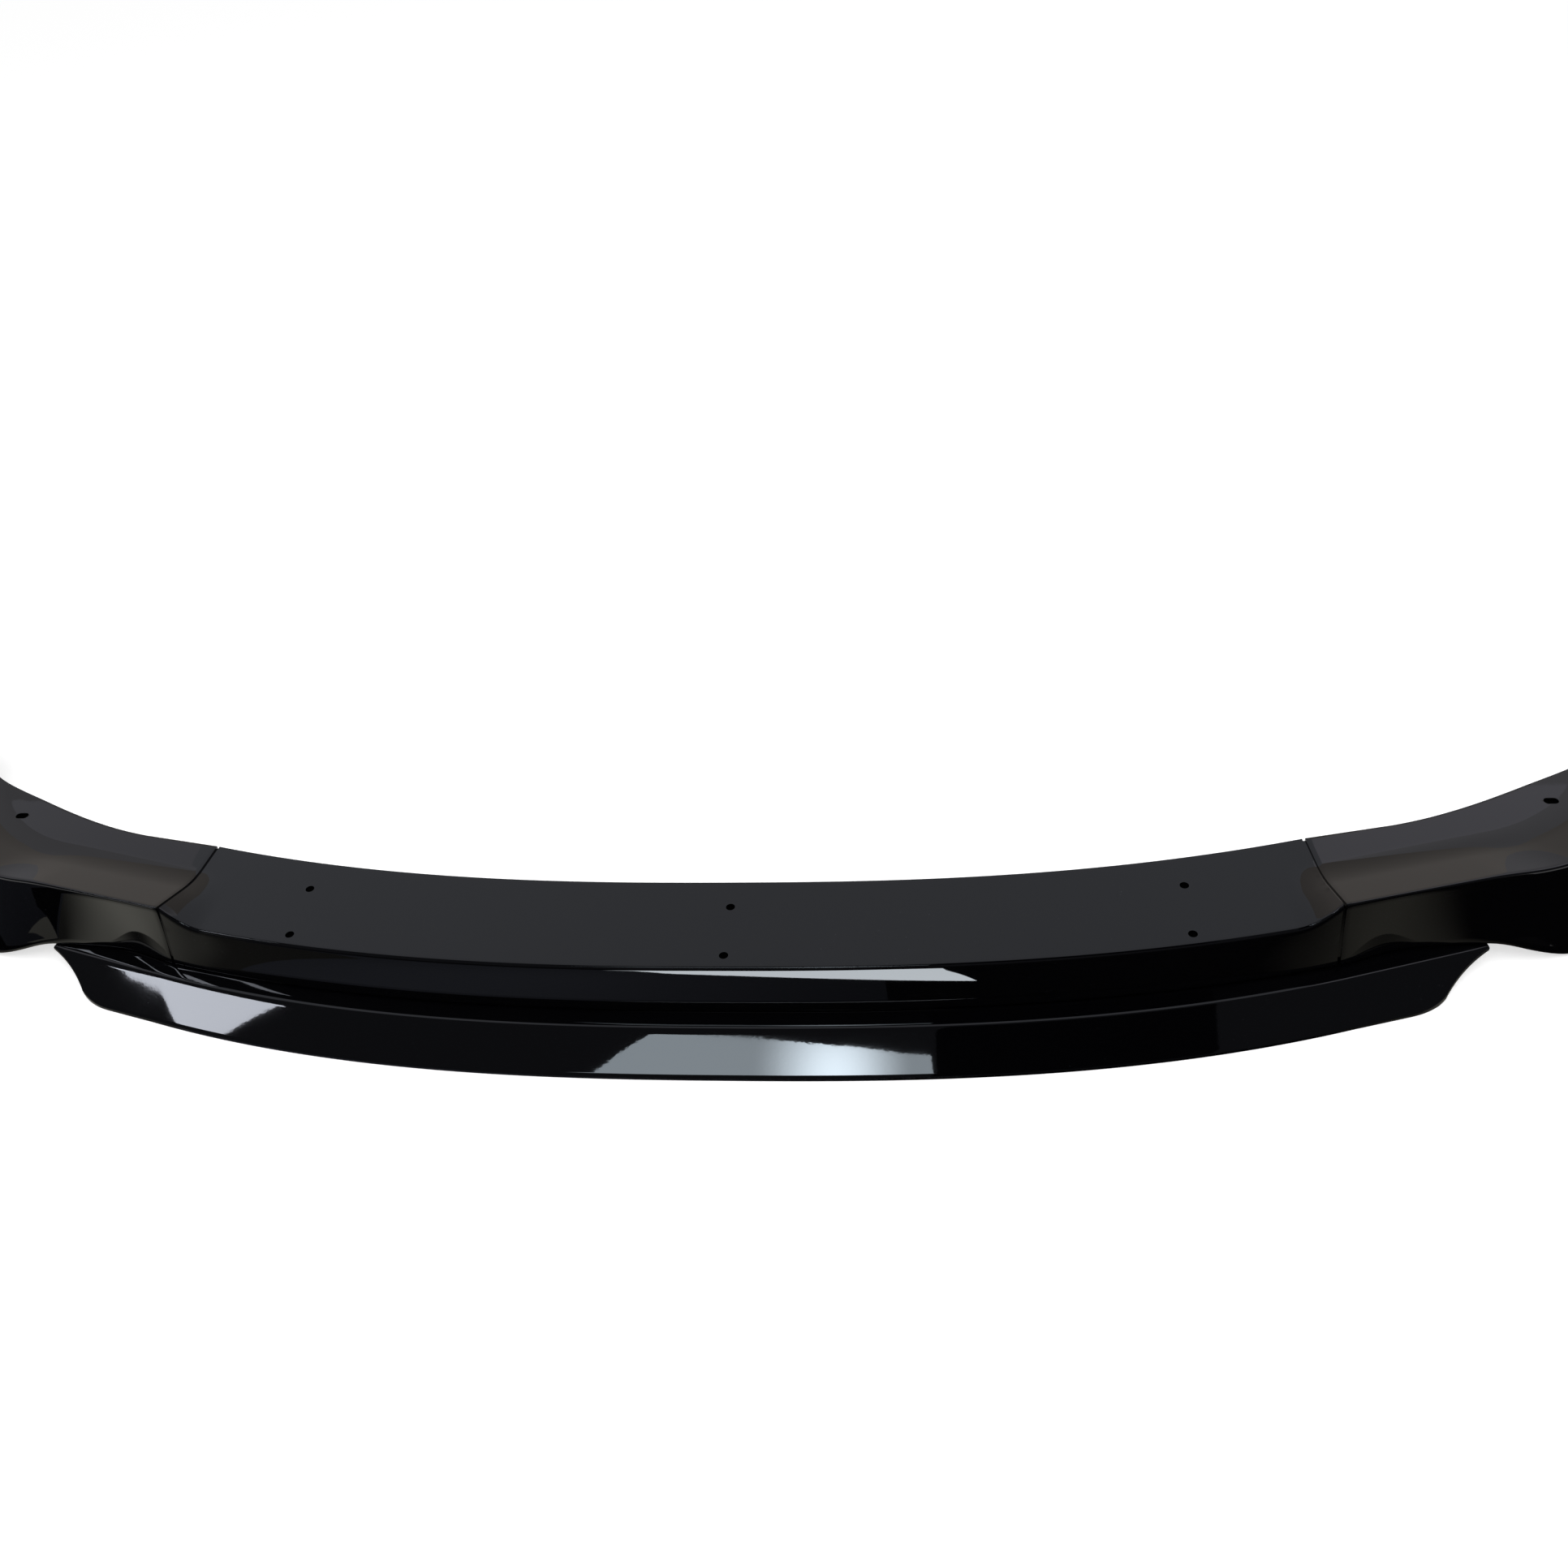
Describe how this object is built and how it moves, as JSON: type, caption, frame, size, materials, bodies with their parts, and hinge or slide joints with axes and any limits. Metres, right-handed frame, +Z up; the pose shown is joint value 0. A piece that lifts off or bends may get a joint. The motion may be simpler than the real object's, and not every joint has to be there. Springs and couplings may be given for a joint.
{
  "type": "bumper spoiler",
  "caption": "Gloss black front bumper lip: a centre section and two wrap-round wings bolted at their seams, with a lower splitter blade screwed on beneath.",
  "frame": {"origin": "floor level, at the middle of the part's footprint", "axes": "+X along the lip to the right as seen from in front, +Y towards the car's rear, +Z up"},
  "size_m": [1.8276, 0.44, 0.0823],
  "materials": {
    "gloss_black": "piano black gloss",
    "zinc_steel": "zinc plated",
    "black_steel": "black coated"
  },
  "bodies": {
    "root": {"centre_section": "gloss_black", "left_wing": "gloss_black", "right_wing": "gloss_black", "lower_blade": "gloss_black", "joint_bolts": "zinc_steel", "joint_nuts": "zinc_steel", "blade_screws": "black_steel"}
  },
  "joints": []
}
